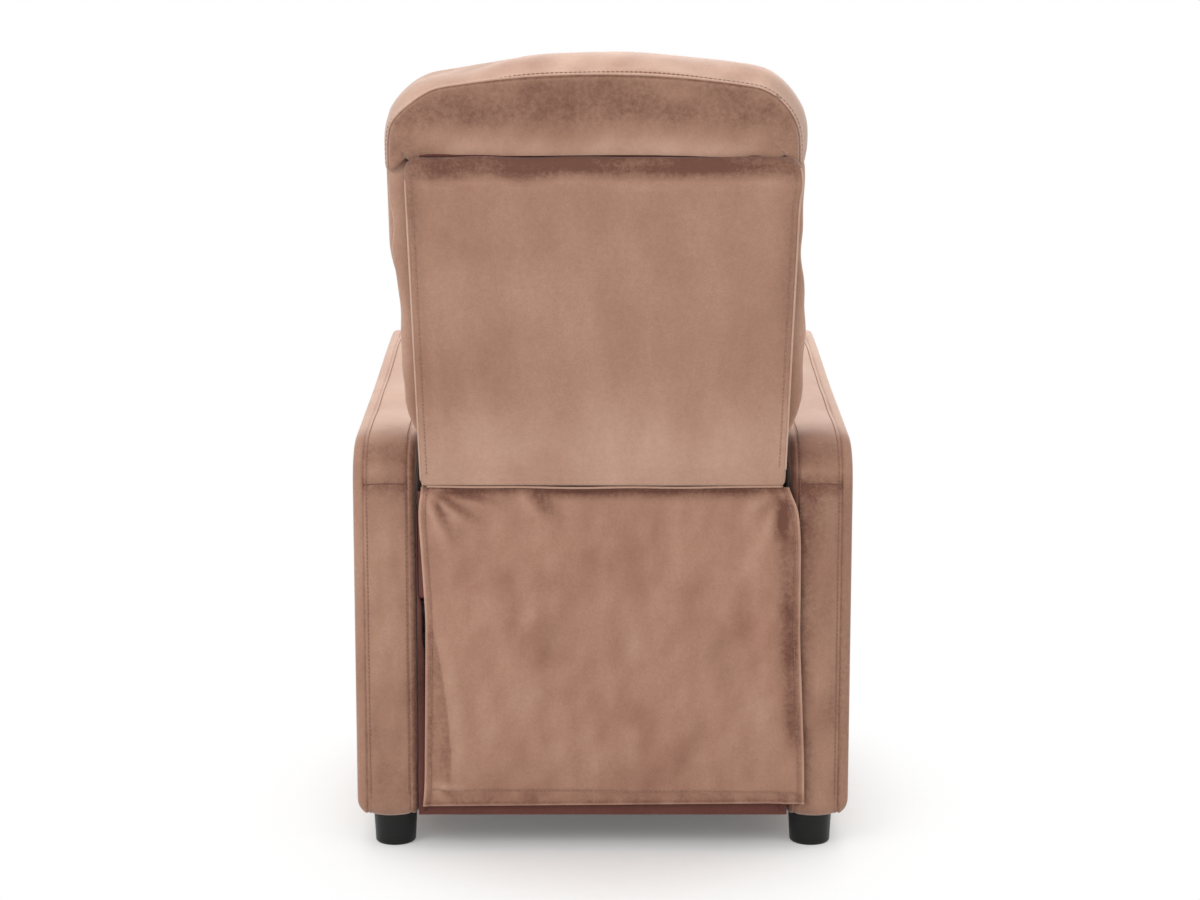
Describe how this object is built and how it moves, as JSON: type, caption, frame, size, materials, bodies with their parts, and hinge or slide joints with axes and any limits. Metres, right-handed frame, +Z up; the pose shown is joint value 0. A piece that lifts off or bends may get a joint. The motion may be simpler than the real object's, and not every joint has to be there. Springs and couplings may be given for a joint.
{
  "type": "recliner chair",
  "caption": "Upholstered push-back recliner with padded arms, a tiered back with a head cushion, a loose rear flap and a linked fold-out footrest.",
  "frame": {"origin": "on the floor, under the middle of the chair's outline", "axes": "+Z up, +Y to the rear of the chair, +X to the sitter's left"},
  "size_m": [0.64, 0.8003, 1.0312],
  "materials": {
    "velvet": "soft brown-rose velvet with a short pile",
    "webbing": "woven elastic webbing",
    "loop_strip": "hook-and-loop tape",
    "hardwood": "plain sawn softwood",
    "plywood": "birch plywood",
    "black_steel": "black painted steel, satin",
    "zinc_steel": "zinc plated steel",
    "nylon": "natural nylon",
    "black_plastic": "black moulded plastic, satin"
  },
  "bodies": {
    "base": {"feet": "black_plastic", "foot_screws": "zinc_steel", "arm_cover_left": "velvet", "arm_cover_right": "velvet", "arm_frames": "hardwood", "front_rail": "hardwood", "rear_rail": "hardwood", "loop_strip": "loop_strip", "rail_brackets": "zinc_steel", "rail_screws": "zinc_steel", "base_plates": "black_steel", "plate_bolts": "zinc_steel", "back_pivot_studs": "zinc_steel", "rear_flap": "velvet"},
    "backrest": {"back_posts": "hardwood", "back_rails": "hardwood", "head_board": "plywood", "back_webbing": "webbing", "back_panel": "velvet", "back_brackets": "black_steel", "drive_pins": "zinc_steel", "bracket_bolts": "zinc_steel", "lumbar_cushion": "velvet", "middle_cushion": "velvet", "shoulder_cushion": "velvet", "back_side_pads": "velvet", "head_cushion": "velvet"},
    "seat": {"seat_plates": "black_steel", "seat_rivets": "zinc_steel", "glide_studs": "zinc_steel", "seat_glides": "nylon", "seat_side_rails": "hardwood", "seat_front_rail": "hardwood", "seat_rear_rail": "hardwood", "seat_bolts": "zinc_steel", "seat_webbing": "webbing", "seat_cushion": "velvet", "seat_front_pad": "velvet"},
    "lift_linkage": {"lift_links": "black_steel", "lift_rivets": "zinc_steel", "crank_pins": "zinc_steel", "torque_tube": "black_steel"},
    "guide_linkage": {"guide_links": "black_steel", "guide_rivets": "zinc_steel"},
    "reach_linkage": {"reach_links": "black_steel", "knee_rivets": "zinc_steel"},
    "toe_linkage": {"toe_links": "black_steel", "toe_rivets": "zinc_steel"},
    "footrest": {"footrest_brackets": "black_steel", "footrest_board": "plywood", "footrest_cushion": "velvet", "footrest_screws": "zinc_steel"}
  },
  "joints": [
    {"name": "back_recline", "type": "hinge", "parent": "base", "child": "backrest", "pos_m": [0, 0.1836, 0.31], "axis": [-1, 0, 0], "range_deg": [0, 38], "deforming": ["rear_flap"]},
    {"name": "seat_slide", "type": "slide", "parent": "base", "child": "seat", "axis": [0, -0.9962, 0.0872], "range_m": [0, 0.0719]},
    {"name": "lift_swing", "type": "hinge", "parent": "seat", "child": "lift_linkage", "pos_m": [0, -0.1864, 0.318], "axis": [-1, 0, 0], "range_deg": [0, 90]},
    {"name": "guide_swing", "type": "hinge", "parent": "seat", "child": "guide_linkage", "pos_m": [0, -0.12844, 0.30247], "axis": [-1, 0, 0], "range_deg": [0, 90]},
    {"name": "reach_fold", "type": "hinge", "parent": "lift_linkage", "child": "reach_linkage", "pos_m": [0, -0.07133, 0.19286], "axis": [-1, 0, 0], "range_deg": [-90, 0]},
    {"name": "toe_fold", "type": "hinge", "parent": "lift_linkage", "child": "toe_linkage", "pos_m": [0, -0.03749, 0.15606], "axis": [-1, 0, 0], "range_deg": [-90, 0]},
    {"name": "footrest_tilt", "type": "hinge", "parent": "reach_linkage", "child": "footrest", "pos_m": [0, -0.30315, 0.25498], "axis": [-1, 0, 0], "range_deg": [0, 90]}
  ],
  "couplings": [
    {"joint": "seat_slide", "follows": "back_recline", "m_per_rad": 0.10841},
    {"joint": "lift_swing", "follows": "back_recline", "ratio": 2.3684},
    {"joint": "guide_swing", "follows": "back_recline", "ratio": 2.3684},
    {"joint": "reach_fold", "follows": "back_recline", "ratio": -2.3684},
    {"joint": "toe_fold", "follows": "back_recline", "ratio": -2.3684},
    {"joint": "footrest_tilt", "follows": "back_recline", "ratio": 2.3684}
  ]
}
